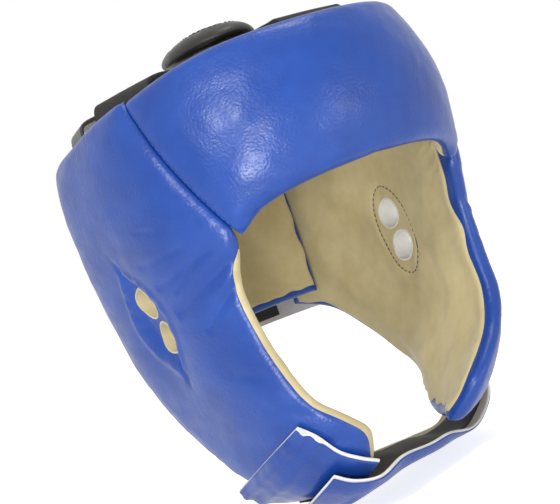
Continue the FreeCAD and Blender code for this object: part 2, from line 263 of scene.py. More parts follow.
def newMaterial(name, **values):
    material = bpy.data.materials.new(name)
    material.use_nodes = True
    tree = material.node_tree
    shader = tree.nodes["Principled BSDF"]
    for key, value in values.items():
        shader.inputs[key.replace("_", " ")].default_value = value
    return material, tree, shader


def mottle(tree, place, shader, dark, light, size, detail=3):
    # colour that drifts between two tones over patches of this size, in millimetres
    noise = addNode(tree, "ShaderNodeTexNoise", {"Vector": place},
                    {"Scale": 1 / (size * mm), "Detail": detail, "Roughness": 0.6})
    ramp = addNode(tree, "ShaderNodeValToRGB", {"Fac": noise.outputs["Fac"]})
    ramp.color_ramp.elements[0].position, ramp.color_ramp.elements[1].position = 0.3, 0.7
    ramp.color_ramp.elements[0].color, ramp.color_ramp.elements[1].color = linear(dark), linear(light)
    tree.links.new(ramp.outputs["Color"], shader.inputs["Base Color"])


def bumpFrom(tree, shader, height, strength, depth, under=None):
    links = {"Height": height}
    if under:
        links["Normal"] = under.outputs["Normal"]
    bump = addNode(tree, "ShaderNodeBump", links, {"Strength": strength, "Distance": depth * mm})
    tree.links.new(bump.outputs["Normal"], shader.inputs["Normal"])
    return bump


leatherGrain = {"pebble": 1.25, "depth": 0.2, "wrinkle": 7.0}


def coatedLeather(name, dark, light, roughness, pebble=leatherGrain["pebble"], depth=leatherGrain["depth"]):
    # PU-coated leather, embossed with a pebble and then finished satin: the light breaks into fine glints
    material, tree, shader = newMaterial(name, Roughness=roughness, IOR=1.5, Specular_IOR_Level=0.45)
    place = addNode(tree, "ShaderNodeTexCoord").outputs["Object"]
    mottle(tree, place, shader, dark, light, 26)
    bent = addNode(tree, "ShaderNodeTexNoise", {"Vector": place},
                   {"Scale": 1 / (pebble * 2.2 * mm), "Detail": 1})
    shifted = addNode(tree, "ShaderNodeVectorMath", {0: bent.outputs["Color"]}, operation="SCALE")
    shifted.inputs["Scale"].default_value = pebble * 0.8 * mm
    moved = addNode(tree, "ShaderNodeVectorMath", {0: place, 1: shifted.outputs["Vector"]}, operation="ADD")
    cells = addNode(tree, "ShaderNodeTexVoronoi", {"Vector": moved.outputs["Vector"]},
                    {"Scale": 1 / (pebble * mm), "Randomness": 0.9}, feature="SMOOTH_F1")
    soft = addNode(tree, "ShaderNodeTexNoise", {"Vector": place},
                   {"Scale": 1 / (leatherGrain["wrinkle"] * mm), "Detail": 4, "Roughness": 0.55})
    under = bumpFrom(tree, shader, soft.outputs["Fac"], 0.3, depth * 2.5)
    flipped = addNode(tree, "ShaderNodeMath", {1: cells.outputs["Distance"]}, {0: 1.0}, operation="SUBTRACT")
    bumpFrom(tree, shader, flipped.outputs["Value"], 0.7, depth, under)
    worn = addNode(tree, "ShaderNodeMapRange", {"Value": soft.outputs["Fac"]},
                   {"From Min": 0.3, "From Max": 0.7, "To Min": roughness - 0.04, "To Max": roughness + 0.07})
    tree.links.new(worn.outputs["Result"], shader.inputs["Roughness"])
    return material


def nappedSuede(name, dark, light, patch, nap=0.5, sheen=0.35):
    # split leather sanded to a short nap: matt, cloudy where the nap lies different ways
    material, tree, shader = newMaterial(name, Roughness=0.88, IOR=1.45)
    shader.inputs["Sheen Weight"].default_value = sheen
    shader.inputs["Sheen Roughness"].default_value = 0.45
    place = addNode(tree, "ShaderNodeTexCoord").outputs["Object"]
    mottle(tree, place, shader, dark, light, patch, detail=6)
    fine = addNode(tree, "ShaderNodeTexNoise", {"Vector": place}, {"Scale": 1 / (nap * mm), "Detail": 3})
    broad = addNode(tree, "ShaderNodeTexNoise", {"Vector": place},
                    {"Scale": 1 / (patch * 0.5 * mm), "Detail": 3})
    under = bumpFrom(tree, shader, broad.outputs["Fac"], 0.6, 0.8)
    bumpFrom(tree, shader, fine.outputs["Fac"], 0.5, 0.12, under)
    return material


def spunThread(name, colour):
    # bonded polyester sewing thread: a slight shine along each stitch
    material, tree, shader = newMaterial(name, Roughness=0.5)
    place = addNode(tree, "ShaderNodeTexCoord").outputs["Object"]
    mottle(tree, place, shader, colour, colour, 4)
    twist = addNode(tree, "ShaderNodeTexNoise", {"Vector": place}, {"Scale": 1 / (0.4 * mm), "Detail": 2})
    bumpFrom(tree, shader, twist.outputs["Fac"], 0.6, 0.1)
    return material


def wovenBlack(name, light, thread, roughness):
    # woven polyester: near black, dull, with a fine thread structure
    material, tree, shader = newMaterial(name, Roughness=roughness)
    place = addNode(tree, "ShaderNodeTexCoord").outputs["Object"]
    mottle(tree, place, shader, "#141312", light, 5)
    weave = addNode(tree, "ShaderNodeTexVoronoi", {"Vector": place}, {"Scale": 1 / (thread * mm)})
    bumpFrom(tree, shader, weave.outputs["Distance"], 0.7, 0.2)
    return material


blueLeather = coatedLeather("blue coated leather", "#143d8e", "#1a489f", 0.32)
blackLeather = coatedLeather("black coated leather", "#1b1a17", "#24221e", 0.4, pebble=0.9)
suede = nappedSuede("beige suede lining", "#bfae7f", "#d8ca9c", 30)
creamSuede = nappedSuede("cream split leather", "#c6b890", "#d6caa6", 20)
whiteCore = nappedSuede("white leather core", "#e2dfd8", "#efede8", 8, sheen=0.1)
blackSuede = nappedSuede("black suede lining", "#1f1d1a", "#2b2925", 18)
elastic = wovenBlack("black woven elastic", "#242320", 0.6, 0.8)
hookTape = wovenBlack("black hook tape", "#1d1c1b", 0.8, 0.62)
loopTape = wovenBlack("black loop tape", "#2a2927", 0.5, 0.95)
blueThread = spunThread("blue sewing thread", "#2f52a8")
darkThread = spunThread("dark sewing thread", "#3b3730")
blackThread = spunThread("black sewing thread", "#1b1a18")
print("materials made")


# Stitches are rows of short threads along a line. One tree makes them all.
def stitchNodes():
    tree = bpy.data.node_groups.new("stitches", "GeometryNodeTree")
    face = tree.interface
    face.new_socket("Geometry", in_out="INPUT", socket_type="NodeSocketGeometry")
    for name in ("Pitch", "Length", "Thread"):
        face.new_socket(name, in_out="INPUT", socket_type="NodeSocketFloat")
    face.new_socket("Material", in_out="INPUT", socket_type="NodeSocketMaterial")
    face.new_socket("Geometry", in_out="OUTPUT", socket_type="NodeSocketGeometry")
    given = addNode(tree, "NodeGroupInput").outputs
    curve = addNode(tree, "GeometryNodeMeshToCurve", {"Mesh": given["Geometry"]})
    points = addNode(tree, "GeometryNodeCurveToPoints",
                     {"Curve": curve.outputs["Curve"], "Length": given["Pitch"]}, mode="LENGTH")
    turned = addNode(tree, "FunctionNodeAlignRotationToVector",
                     {"Vector": points.outputs["Tangent"]}, axis="X")
    wide = addNode(tree, "ShaderNodeCombineXYZ",
                   {"X": given["Length"], "Y": given["Thread"], "Z": given["Thread"]})
    bead = addNode(tree, "GeometryNodeMeshUVSphere", values={"Segments": 7, "Rings": 6, "Radius": 0.5})
    round_ = addNode(tree, "GeometryNodeSetShadeSmooth", {"Geometry": bead.outputs["Mesh"]})
    rows = addNode(tree, "GeometryNodeInstanceOnPoints", {
        "Points": points.outputs["Points"], "Instance": round_.outputs["Geometry"],
        "Rotation": turned.outputs["Rotation"], "Scale": wide.outputs["Vector"]})
    real = addNode(tree, "GeometryNodeRealizeInstances", {"Geometry": rows.outputs["Instances"]})
    made = addNode(tree, "GeometryNodeSetMaterial", {"Geometry": real.outputs["Geometry"],
                                                     "Material": given["Material"]})
    addNode(tree, "NodeGroupOutput", {"Geometry": made.outputs["Geometry"]})
    return tree


def plainMesh(piece):
    # the evaluated result as a mesh of its own, without modifiers
    ready = piece.evaluated_get(bpy.context.evaluated_depsgraph_get())
    mesh = bpy.data.meshes.new_from_object(ready)
    piece.modifiers.clear()
    piece.data = mesh
    return piece


def throughNodes(piece, tree, **inputs):
    modifier = piece.modifiers.new(tree.name, "NODES")
    modifier.node_group = tree
    sockets = {item.name: item.identifier for item in tree.interface.items_tree if item.in_out == "INPUT"}
    for name, value in inputs.items():
        modifier[sockets[name]] = value
    return plainMesh(piece)


stitchTree = stitchNodes()
stitch = {"pitch": 3.3, "length": 2.5, "thread": 0.62, "sunk": 0.12}


def settle(line, trees, lift):
    # the line laid on the nearest of the surfaces, this far above it
    laid = []
    for point in line:
        spot = Vector(point) * mm
        hits = [tree.find_nearest(spot) for tree in trees]
        at, normal, _, _ = min(hits, key=lambda h: h[3])
        laid.append(np.array(at + normal * lift * mm) / mm)
    return np.array(laid)


def treeOf(piece):
    return BVHTree.FromPolygons([v.co for v in piece.data.vertices],
                                [p.vertices for p in piece.data.polygons])


def stitches(name, lines, material, body, slotName, **changes):
    size = {**stitch, **changes}
    points, edges = [], []
    for line in lines:
        first = len(points)
        points += [tuple(p * mm) for p in np.asarray(line)]
        edges += [(k, k + 1) for k in range(first, len(points) - 1)]
    mesh = bpy.data.meshes.new(name)
    mesh.from_pydata(points, edges, [])
    piece = linked(name, mesh)
    throughNodes(piece, stitchTree, Pitch=size["pitch"] * mm, Length=size["length"] * mm,
                 Thread=size["thread"] * mm, Material=material)
    return dress(piece, body)


# Pads. A pad is a closed cushion between an outer and an inner face. Its free borders are round rolls,
# its seam borders turn in to a groove, and it swells away from both.
padForm = {"thickness": 19.0, "border": 11.0, "fade": 34.0, "softDrop": 1.4, "softWidth": 22.0, "step": 1.45}
borderTurn = {"free": (6.8, 4.9), "seam": (8.5, 3.4)}     # radius, depth
liningForm = {"proud": 1.0, "sunk": 0.5, "turn": 1.8, "wave": 0.7, "waveLength": 24, "loose": 0.45}


def padFaces(place, size, kinds, thickness, dents, seed, denser=None):
    # grids of the outer and the inner face, and the shares they stand at
    u, v = (spread(length, padForm["step"], borderTurn["free"][0]) for length in size)
    if denser:
        u, v = (closer(s, *stretch) for s, stretch in zip((u, v), denser))
    uu, vv = np.meshgrid(u, v, indexing="ij")
    base = place(uu, vv, 0 * uu)
    away = borderDistance(base)
    radii, depths = [], []
    for kind in kinds:      # a kind may be a share of free against seam along the border
        free = np.ones_like(uu) if kind == "free" else kind(base) if callable(kind) else 0 * uu
        for stack, one, other in zip((radii, depths), borderTurn["free"], borderTurn["seam"]):
            stack.append(free * one + (1 - free) * other)
    radii, depths = np.stack(radii), np.stack(depths)
    edge = nearestBorder(away)
    full = padForm["border"] + (thickness - padForm["border"]) * smooth(edge / padForm["fade"])
    soft = padForm["softDrop"] * (1 - smooth(edge / padForm["softWidth"]))
    turn = quarterTurn(away, radii, depths)
    near = np.exp(-edge / 9)
    gather = 0.14 * near * smooth(edge / 3) * pucker(base @ np.array([0.5, 0.4, 1.0]), 9, seed)
    uneven = (0.42 * smooth(edge / 16) * ripple(base, 62, seed + 1)
              + 0.1 * smooth(edge / 8) * ripple(base, 15, seed + 2))
    outDepth = soft + turn + gather + uneven + dents(base, "outer")
    innerDepths = padForm["border"] - padForm["softDrop"] - depths - 0.3
    inDepth = full - quarterTurn(away, radii, innerDepths) - dents(base, "inner") + uneven * 0.5
    outer, inner = place(uu, vv, outDepth), place(uu, vv, np.maximum(inDepth, outDepth + 0.3))
    return {"u": u, "v": v, "size": size, "outer": outer, "inner": inner,
            "inward": normalsOf(base, towards=inner - outer)}


def liningOn(name, faces, margins, material, seed, dents=None, mirror=1):
    # a suede skin on the inner face, inside margins from the four borders, with a slightly wavy edge
    width, height = faces["size"]
    span = (width - margins[0] - margins[1], height - margins[2] - margins[3])
    u, v = (spread(length, padForm["step"], liningForm["turn"] * 2) for length in span)
    if "denser" in faces:
        u, v = (closer(s, *((k * size - margin) / length
                            for k, margin in ((low, start), (high, start), (step, 0))))
                for s, size, length, start, (low, high, step) in
                zip((u, v), faces["size"], span, (margins[0], margins[2]), faces["denser"]))
    uu, vv = np.meshgrid(u, v, indexing="ij")
    lengths = (vv * span[1], vv * span[1], uu * span[0], uu * span[0])
    wave = [liningForm["wave"] * pucker(far, liningForm["waveLength"], seed + k)
            for k, far in enumerate(lengths)]
    wave[0] = wave[0] + faces.get("wider", lambda v: 0)(vv)
    atU = (margins[0] + wave[0] + uu * (span[0] - wave[0] - wave[1])) / width
    atV = (margins[2] + wave[2] + vv * (span[1] - wave[2] - wave[3])) / height
    base = onGrid(faces["inner"], faces["u"], faces["v"], np.clip(atU, 0, 1), np.clip(atV, 0, 1))
    normal = onGrid(faces["inward"], faces["u"], faces["v"], np.clip(atU, 0, 1), np.clip(atV, 0, 1))
    normal /= np.linalg.norm(normal, axis=-1, keepdims=True)
    away = borderDistance(base)
    edge = nearestBorder(away)
    turn = quarterTurn(away, liningForm["turn"],
                       np.full_like(away, liningForm["proud"] + liningForm["sunk"] * 0.6))
    fold = 0.3 * np.exp(-edge / 8) * smooth(edge / 2) * pucker(base @ np.array([0.6, 0.5, 1.0]), 8, seed + 4)
    slack = smooth(edge / 8) * (0.45 * ripple(base, 30, seed + 5) + 0.14 * ripple(base, 10, seed + 6))
    rise = liningForm["proud"] - turn + fold + slack + liningForm["loose"]
    if dents:
        rise = rise + dents(base)
    rise = np.maximum(rise, -liningForm["sunk"] * 0.6 + 0.02)
    low = np.minimum(rise - 0.15, -liningForm["sunk"])
    flip = np.array([mirror, 1, 1])
    return shell(name, (base + normal * rise[..., None]) * flip,
                 (base + normal * low[..., None]) * flip, material)


earForm = {"hole": 17.5, "spacing": 22.0, "centre": (-1.5, 0.3), "lean": 18.0, "long": 30.0, "half": 17.5,
           "depth": 3.2, "flat": 0.66, "rim": 1.1, "lip": 0.6, "inside": 1.4, "broad": 4.5,
           "oval": (15.5, 29.0), "sides": 72, "rimWidth": 0.9, "through": (60, 125)}


def earPlace(points):
    # places across and along the leaning oval over the ear
    lean = math.radians(earForm["lean"])
    y, z = points[..., 1] - earForm["centre"][0], points[..., 2] - earForm["centre"][1]
    return y * math.cos(lean) - z * math.sin(lean), y * math.sin(lean) + z * math.cos(lean)


def earSpot(a, b):
    # the point, back and up, at a place across and along the oval
    lean = math.radians(earForm["lean"])
    return (earForm["centre"][0] + a * math.cos(lean) + b * math.sin(lean),
            earForm["centre"][1] - a * math.sin(lean) + b * math.cos(lean))


def earLip(a, b):
    # the rounded lips of the two holes
    total = 0
    for step in (-0.5, 0.5):
        away = np.hypot(a, b - step * earForm["spacing"]) - earForm["hole"] / 2
        t = np.clip(1 - away / earForm["lip"], 0, 1)
        total = np.maximum(total, earForm["lip"] * (1 - np.sqrt(np.maximum(1 - t * t, 0))))
    return total


def earDent(points, face):
    # outside, an almond with a flat bottom and steep sides, its border raised and pinched at both ends
    a, b = earPlace(points)
    around = np.hypot(a / earForm["half"], 0.1) + (b / earForm["long"]) ** 2
    if face == "inner":
        return earForm["inside"] * smooth((1.3 - around) / 0.6) + 0.5 * earLip(a, b)
    ends = np.exp(-(a / 2.6) ** 2) * np.exp(-((np.abs(b) - earForm["long"] - 1) / 6.5) ** 2)
    rays = np.exp(-((around - 1.12) / 0.2) ** 2) * np.sin(13 * np.arctan2(b, a) + 1.3 * np.sin(a / 5))
    raised = -0.9 * np.exp(-((around - 1.25) / 0.16) ** 2)
    fall = smooth((earForm["rim"] - around) / (earForm["rim"] - earForm["flat"]))
    broad = earForm["broad"] * np.exp(-((a - 6) / 26) ** 2 - (b / 44) ** 2)
    return earForm["depth"] * fall + broad + 2.2 * ends + 0.3 * rays + raised + earLip(a, b)


def liningDent(points):
    # the sewn oval presses a channel into the lining
    a, b = earPlace(points)
    around = np.hypot(a / earForm["oval"][0], b / earForm["oval"][1])
    return -1.1 * np.exp(-((around - 1) * 14) ** 2) - 0.4 * earLip(a, b)


def drillEars(piece, mirror, grown=0.0):
    # both holes cut straight through
    bm = bmesh.new()
    radius = earForm["hole"] / 2 + grown
    for step in (-0.5, 0.5):
        y, z = earSpot(0, step * earForm["spacing"])
        ring = [[bm.verts.new(Vector((x * mirror, y + math.cos(k) * radius, z + math.sin(k) * radius)) * mm)
                 for k in np.arange(earForm["sides"]) * 2 * math.pi / earForm["sides"]]
                for x in earForm["through"]]
        for k in range(earForm["sides"]):
            n = (k + 1) % earForm["sides"]
            bm.faces.new((ring[0][k], ring[0][n], ring[1][n], ring[1][k]))
        bm.faces.new(ring[0])
        bm.faces.new(ring[1][::-1])
    bmesh.ops.recalc_face_normals(bm, faces=bm.faces)
    mesh = bpy.data.meshes.new("drill")
    bm.to_mesh(mesh)
    bm.free()
    drill = linked("drill", mesh)
    cut = piece.modifiers.new("holes", "BOOLEAN")
    cut.object, cut.operation, cut.solver = drill, "DIFFERENCE", "MANIFOLD"
    material = piece.data.materials[0]
    plainMesh(piece)
    piece.data.materials.clear()
    piece.data.materials.append(material)
    bpy.data.objects.remove(drill)
    return finishMesh(piece, 55)


foreheadForm = {"size": (225.0, 80.0), "brow": [(0, 46), (28, 43.5), (47, 38), (60, 29)],
                "top": [(0, 123), (30, 122), (60, 113)], "margins": (3.0, 3.0, 1.8, 7.0), "gap": 0.12}


def foreheadPlace(u, v, depth):
    angle = form["seamAngle"] * (2 * u - 1)
    low, high = along(foreheadForm["brow"], np.abs(angle)), along(foreheadForm["top"], np.abs(angle))
    return wall(low + v * (high - low), angle * (1 - foreheadForm["gap"] / 110), depth, fan=True)


def foreheadDent(points, face):
    if face == "inner":
        return 0
    fold = 0
    for side in (-1, 1):     # short gathers beside the lower ends of the seams
        for lift, reach, deep in ((4, 13, 0.6), (13, 9, 0.4), (30, 8, 0.35), (47, 9, 0.3)):
            a = wall(31 + lift, side * 59, 0, fan=True)
            b = wall(33 + lift * 1.06, side * (59 - reach), 0, fan=True)
            fold = fold + crease(points, a, b, 2.4, deep)
    return fold


faces = padFaces(foreheadPlace, foreheadForm["size"], ("seam", "seam", "free", "free"), padForm["thickness"],
                 foreheadDent, 11)
foreheadPad = shell("forehead_pad", faces["outer"], faces["inner"], blueLeather)
foreheadSuede = liningOn("forehead_suede", faces, foreheadForm["margins"], suede, 21)
dress(foreheadPad, "root", ("forehead_cover", "forehead_foam"))
dress(foreheadSuede, "root", ("forehead_lining",))
print("forehead pad made")

sideForm = {
    "size": (190.0, 150.0), "gap": 0.12, "corner": 31.0, "margins": (1.9, 3.0, 2.0, 5.0),
    "strip": (6.5, 0.45, 0.3),
    "turned": (2.7, 0.585, 0.03),
    "rearAngle": {"left": 152.0, "right": 130.0}, "bend": (22.0, -42.0, 70.0, 108.0, 38.0),
    "faceEdge": [(-113, 33), (-107, 28), (-95, 26), (-84, 26), (-73, 31), (-62, 37), (-45, 41), (-22, 44.5),
                 (5, 46), (30, 42.5), (60, 48), (118, 60)],
    "jawEdge": [(0, -107), (0.25, -111), (0.5, -101), (0.65, -85), (0.78, -59), (0.88, -39), (1, -28)],
    "top": [(0, 115), (0.3, 111), (0.6, 106), (1, 101)]}
# wrinkles of a side pad: from and to, each angle and height, then width and depth
sideCreases = {
    "right": [((45, 20), (69, 1), 4.2, 3.2), ((50, 28), (73, 17), 3.0, 1.7), ((45, 10), (60, -11), 3.4, 1.9),
              ((57, 24), (66, 12), 1.8, 1.0), ((58, 33), (78, 30), 2.2, 0.9), ((64, 45), (74, 48), 1.8, 0.5),
              ((46, -42), (58, -36), 2.6, 0.8), ((38, -66), (52, -56), 3.0, 0.9),
              ((30, -84), (44, -78), 2.8, 0.8)],
    "left": [((47, 24), (60, 8), 3.0, 1.3), ((50, 28), (66, 20), 2.4, 0.9), ((46, 8), (56, -6), 2.6, 0.8),
             ((60, 34), (72, 33), 2.4, 0.6), ((64, 50), (75, 53), 2.2, 0.5), ((44, -50), (58, -42), 3.2, 0.7),
             ((33, -76), (47, -68), 3.2, 0.7), ((30, -92), (44, -88), 3.0, 0.5)]}
sidePads = {}


def sideHeight(u, v):
    low, high = along(sideForm["jawEdge"], u), along(sideForm["top"], u)
    return low + v * (high - low)


def bend(height, angle):
    # how far the left cheek is bent inwards
    far, top, over, rear, fade = sideForm["bend"]
    return far * smooth((top - height) / over) * smooth((rear - angle) / fade)


def sidePlace(rearAngle, bent):
    def place(u, v, depth):
        height = sideHeight(u, v)
        seam = wall(height, form["seamAngle"], depth, fan=True)
        seamAt = np.degrees(np.arctan2(seam[..., 0], -seam[..., 1])) + sideForm["gap"]
        edge = along(sideForm["faceEdge"], height)
        front = np.where(height > sideForm["corner"] - 14, np.maximum(edge, seamAt), edge)
        angle = front + u * (rearAngle - front)
        points = wall(height, angle, depth)
        points[..., 0] -= bent * bend(height, angle)
        return points
    return place


for seed, side, mirror in ((31, "left", 1), (51, "right", -1)):
    folds = [(wall(*a[::-1], 0), wall(*b[::-1], 0), width, depth) for a, b, width, depth in sideCreases[side]]

    def dents(points, face, folds=folds):
        if face == "inner":
            return earDent(points, face)
        return earDent(points, face) + sum(crease(points, *fold) for fold in folds)

    frontKind = lambda base: 1 - smooth((base[:1, :, 2] - sideForm["corner"] + 3) / 8) + 0 * base[..., 2]
    place = sidePlace(sideForm["rearAngle"][side], side == "left")
    spot = 0.42 if side == "left" else 0.52     # share of the way back where the ear is
    denser = ((spot - 0.14, spot + 0.16, 0.0042), (0.36, 0.78, 0.0050))
    faces = padFaces(place, sideForm["size"], (frontKind, "free", "free", "free"), padForm["thickness"],
                     dents, seed, denser)
    faces["denser"] = denser
    if side == "left":      # the blue border is wide near the brow and narrow down the cheek
        wide, start, over = sideForm["strip"]
        faces["wider"] = lambda v: wide * smooth((v - start) / over)
    flip = np.array([mirror, 1, 1])
    pad = shell(side + "_side_pad", faces["outer"] * flip, faces["inner"] * flip, blueLeather)
    drillEars(pad, mirror)
    skin = liningOn(side + "_side_suede", faces, sideForm["margins"], suede, seed + 7, liningDent, mirror)
    drillEars(skin, mirror, 0.5)
    dress(pad, "root", (side + "_side_cover", side + "_side_foam"))
    dress(skin, "root", (side + "_side_lining",))
    sidePads[side] = {"mirror": mirror, "tree": treeOf(pad), "skinTree": treeOf(skin)}
    if side == "right":     # the suede is turned over the face edge and shows as a narrow pale border
        lap, top, over = sideForm["turned"]
        share = np.linspace(0.02, top, 170)
        width = 0.3 + lap * smooth((top - share) / over)
        lapAt = np.linspace(0, 1, 9)[:, None] * width / sideForm["size"][0]
        edge = onGrid(faces["outer"], faces["u"], faces["v"], lapAt, np.broadcast_to(share, (9, 170)))
        away = normalsOf(edge, towards=-faces["inward"].mean((0, 1)))
        edging = shell(side + "_lining_edge", (edge + away * 0.4) * flip, (edge - away * 0.3) * flip, suede)
        dress(edging, "root")
    print(side, "side pad made")

# Rear pad: sewn to the right pad, its free end inside the left pad.
rearForm = {"size": (185.0, 113.0), "thickness": 14.0, "low": -25.0, "high": 88.0, "start": 230.3,
            "free": 141.0,
            "inside": 20.0, "fadeFrom": 198.0, "fadeOver": 42.0, "margins": (3.0, 1.0, 4.0, 7.0)}


def rearPlace(u, v, depth):
    angle = rearForm["start"] + u * (rearForm["free"] - rearForm["start"])
    step = rearForm["inside"] * smooth((rearForm["fadeFrom"] - angle) / rearForm["fadeOver"])
    return wall(rearForm["low"] + v * (rearForm["high"] - rearForm["low"]), angle, depth + step)


faces = padFaces(rearPlace, rearForm["size"], ("seam", "free", "free", "free"), rearForm["thickness"],
                 lambda points, face: 0, 71)
rearPad = shell("rear_pad_body", faces["outer"], faces["inner"], blueLeather)
rearSuede = liningOn("rear_pad_suede", faces, rearForm["margins"], suede, 77)
dress(rearPad, "rear_pad", ("rear_pad_cover", "rear_pad_foam"))
dress(rearSuede, "rear_pad", ("rear_pad_lining",))
print("rear pad made")

# Seam stitches: a row on each side of both forehead seams.
foreheadTree = treeOf(foreheadPad)
seamForm = {"heights": (34, 106), "beside": 2.3, "perDegree": 1.9, "depth": 3}
seamRows = []
for sign in (-1, 1):
    heights = np.linspace(*seamForm["heights"], 60)
    for shift in (-seamForm["beside"], seamForm["beside"]):
        line = wall(heights, sign * (form["seamAngle"] + shift / seamForm["perDegree"]),
                    seamForm["depth"], fan=True)
        tree = foreheadTree if shift < 0 else sidePads["left" if sign > 0 else "right"]["tree"]
        seamRows.append(settle(line, [tree], stitch["sunk"]))
stitches("seam_stitches", seamRows, blueThread, "root", "blue_leather")

ovalRows = []
for side, parts in sidePads.items():
    turn = np.linspace(0, 2 * math.pi, 90)
    line = []
    for point in zip(*earSpot(earForm["oval"][0] * np.cos(turn), earForm["oval"][1] * np.sin(turn))):
        spot = Vector((parts["mirror"] * earForm["through"][0], *point)) * mm
        at, normal, _, _ = parts["skinTree"].ray_cast(spot, Vector((parts["mirror"], 0, 0)))
        if at:
            line.append(np.array(at + normal * 0.15 * mm) / mm)
    ovalRows.append(line)
stitches("ear_lining_stitches", ovalRows, darkThread, "root", "suede_lining", thread=0.7)


def earRim(name, parts, step):
    # the cut edge of a hole shows the pale core of the leather, as a thin ring through the pad
    radius, sides, wide = earForm["hole"] / 2, earForm["sides"], earForm["rimWidth"]
    centre = np.array(earSpot(0, step * earForm["spacing"]))
    rings = []
    for k in np.arange(sides) * 2 * math.pi / sides:
        way, depths = np.array([math.cos(k), math.sin(k)]), []
        for tree, x in ((parts["tree"], 125), (parts["skinTree"], 60)):
            spot = Vector((parts["mirror"] * x, *(centre + way * (radius + wide + 0.6)))) * mm
            at = tree.ray_cast(spot, Vector((parts["mirror"] * (-1 if x > 90 else 1), 0, 0)))[0]
            depths.append(at.x / mm if at else parts["mirror"] * 84)
        out, low = depths[0] + parts["mirror"] * 0.25, depths[1] - parts["mirror"] * 0.25
        rings.append([(x, *(centre + way * (radius + r))) for x, r in
                      ((out, -0.1), (out, wide), (low, wide), (low, -0.1))])
    at = np.arange(sides * 4).reshape(sides, 4)
    nextRing = np.roll(at, -1, 0)
    faces = [[int(q) for q in (at[k, j], at[k, (j + 1) % 4], nextRing[k, (j + 1) % 4], nextRing[k, j])]
             for k in range(sides) for j in range(4)]
    material = creamSuede if parts["mirror"] < 0 else whiteCore
    rim = finishMesh(toObject(name, np.reshape(rings, (-1, 3)), faces, material))
    dress(rim, "root")


for side, parts in sidePads.items():
    earRim(side + "_ear_rim_upper", parts, 0.5)
    earRim(side + "_ear_rim_lower", parts, -0.5)
print("pad stitches made")


def throughRows(rows, u, v, knots=None):
    # smooth surface through rows of points, at shares u along the rows and v across them
    rows = np.asarray(rows, float)
    count, width = rows.shape[:2]
    knots = np.linspace(0, 1, width) if knots is None else knots
    across = np.stack([np.stack([along(list(zip(knots, rows[k, :, c])), v) for c in range(3)], -1)
                       for k in range(count)])
    return np.stack([np.stack([along(list(enumerate(across[:, j, c])), u * (count - 1))
                               for c in range(3)], -1)
                     for j in range(len(v))], 1)


def outside(point, gap):
    # the point, or as far out beyond the form as the gap says, seen from the middle of the jaw
    heart = np.array([point[0] * 0.25, -35.0, -60.0])
    way = np.asarray(point, float) - heart
    reach = np.linalg.norm(way)
    way /= reach
    low, high = 0.0, 150.0
    for _ in range(36):
        mid = (low + high) / 2
        p = heart + way * mid
        half, front, back, square = formSection(p[2])
        far, power = (front, square) if p[1] < 0 else (back, form["backSquareness"])
        held = p[2] > formLevels[0][0] and (abs(p[0]) / half) ** power + (abs(p[1]) / far) ** power < 1
        low, high = (mid, high) if held else (low, mid)
    return heart + way * max(reach, low + gap)


def slab(name, base, normal, low, high, turn, material, rise):
    # a layer of a strap between two distances from its surface, its borders rounded over the turn
    away = borderDistance(base)
    bend = quarterTurn(away, turn, np.full_like(away, min(turn, (high - low) / 2 - 0.02)))
    up, down = (high - bend + rise)[..., None], (low + bend)[..., None]
    return shell(name, base + normal * up, base + normal * down, material)


def strapPiece(name, surface, spans, low, high, material, body, node, slotName, turn=0.5,
               size=(100, 40), step=1.6,
               rise=None):
    # one layer of a strap: surface(u, v) over spans of its length and width
    u, v = (spread(length * (b - a), step, turn) * (b - a) + a for length, (a, b) in zip(size, spans))
    base = surface(u, v)
    piece = slab(name, base, normalsOf(base, towards=surface.outward), low, high, turn, material,
                 rise(base, u, v) if rise else 0)
    return dress(piece, body, (node,))


class Strap:
    # a surface of a strap, and which way is out
    def __init__(self, grid, outward):
        self.grid, self.outward = grid, np.array(outward, float)

    def __call__(self, u, v):
        return self.grid(np.asarray(u), np.asarray(v))


strapForm = {"thickness": 2.4, "core": (0.45, 1.75), "skin": 1.6, "tape": 1.3, "gap": 0.35, "tapeGap": 0.15,
             "stitched": 3.2}

# Chin tab, sewn on the right cheek: rows from the sewn line to the free end, each front, middle, rear.
tabForm = {
    "size": (46.0, 62.0), "loop": ((0.62, 0.92), (0.35, 0.94)), "rows": [
        ((-76, -80, -68.5), (-81.5, -50, -83), (-79, -4, -101)),
        ((-70, -85, -75.5), (-77, -52, -95), (-73, -8, -109)),
        ((-62.5, -88, -86.5), (-67.5, -55, -106), (-63, -15, -114)),
        ((-53.5, -90.5, -93.5), (-56, -60, -109.5), (-52, -25, -115)),
        ((-43.5, -90, -99), (-43, -66, -109), (-42, -42, -113))]}
tabRows = [[outside(p, strapForm["gap"]) for p in row] for row in tabForm["rows"]]
tab = Strap(lambda u, v: throughRows(tabRows, u, v), (-0.3, -0.1, -1))


def tabFolds(base, u, v):
    # the sewn end is gathered into ridges that run out along the tab
    far = u[:, None] * tabForm["size"][0]
    across = v[None, :] * tabForm["size"][1]
    ridge = 2.2 * np.exp(-((far - 5) / 2.4) ** 2) + 1.9 * np.exp(-((far - 13) / 2.4) ** 2)
    ridge = ridge + 0.35 * np.exp(-far / 16) * pucker(across + 0 * far, 11, 5)
    return ridge + 0.25 * ripple(base, 26, 6) * smooth(far / 12)


